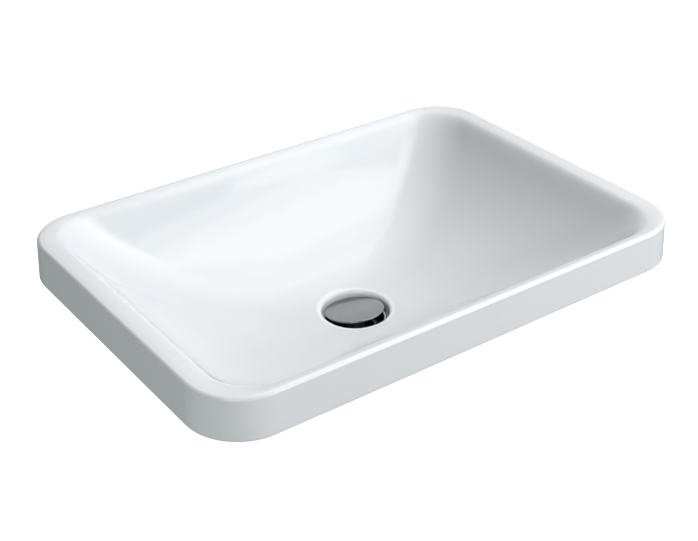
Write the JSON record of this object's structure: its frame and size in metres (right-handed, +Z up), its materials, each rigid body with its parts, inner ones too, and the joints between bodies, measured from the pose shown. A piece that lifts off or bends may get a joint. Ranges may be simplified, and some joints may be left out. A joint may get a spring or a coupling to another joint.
{
  "type": "inset washbasin",
  "caption": "Rectangular white glazed washbasin with rounded corners that drops into a counter, with a chromed push plug and threaded waste at its centre.",
  "frame": {"origin": "on the counter plane, under the skirt's flat foot, on the waste's axis", "axes": "+X along the basin's length to the right, +Y to its back, +Z up"},
  "size_m": [0.5598, 0.3898, 0.1937],
  "materials": {
    "glaze": "white fired glaze, bare body on the seat",
    "chrome": "polished plating on brass",
    "brass": "machined",
    "steel": "drawn stainless",
    "seal_rubber": "moulded, matt",
    "white_plastic": "moulded",
    "grey_plastic": "moulded"
  },
  "bodies": {
    "basin": {"basin_shell": "glaze", "waste_body": "chrome", "flange_gasket": "seal_rubber", "under_gasket": "seal_rubber", "slip_washer": "white_plastic", "back_nut": "brass", "crosspiece": "brass", "cartridge_screw": "steel", "cartridge_housing": "grey_plastic", "guide_bush": "grey_plastic", "return_spring": "steel"},
    "plunger": {"plunger_stem": "brass", "guide_pin": "steel"},
    "plug": {"plug_cap": "chrome", "plug_seal": "seal_rubber", "plug_carrier": "grey_plastic"},
    "index": {"index_sleeve": "white_plastic"}
  },
  "joints": [
    {"name": "plug_slide", "type": "slide", "parent": "basin", "child": "plunger", "axis": [0, 0, 1], "range_m": [-0.005, 0], "deforming": ["return_spring"]},
    {"name": "plug_lean", "type": "hinge", "parent": "plunger", "child": "plug", "pos_m": [0, 0, -0.0708], "axis": [1, 0, 0], "range_deg": [0, 9.41]},
    {"name": "index_turn", "type": "hinge", "parent": "basin", "child": "index", "pos_m": [0, 0, -0.0958], "axis": [0, 0, 1], "range_deg": [0, 30.1]}
  ],
  "couplings": [
    {"joint": "plug_lean", "follows": "plug_slide", "rad_per_m": -32.826},
    {"joint": "index_turn", "follows": "plug_slide", "rad_per_m": -104.72}
  ]
}
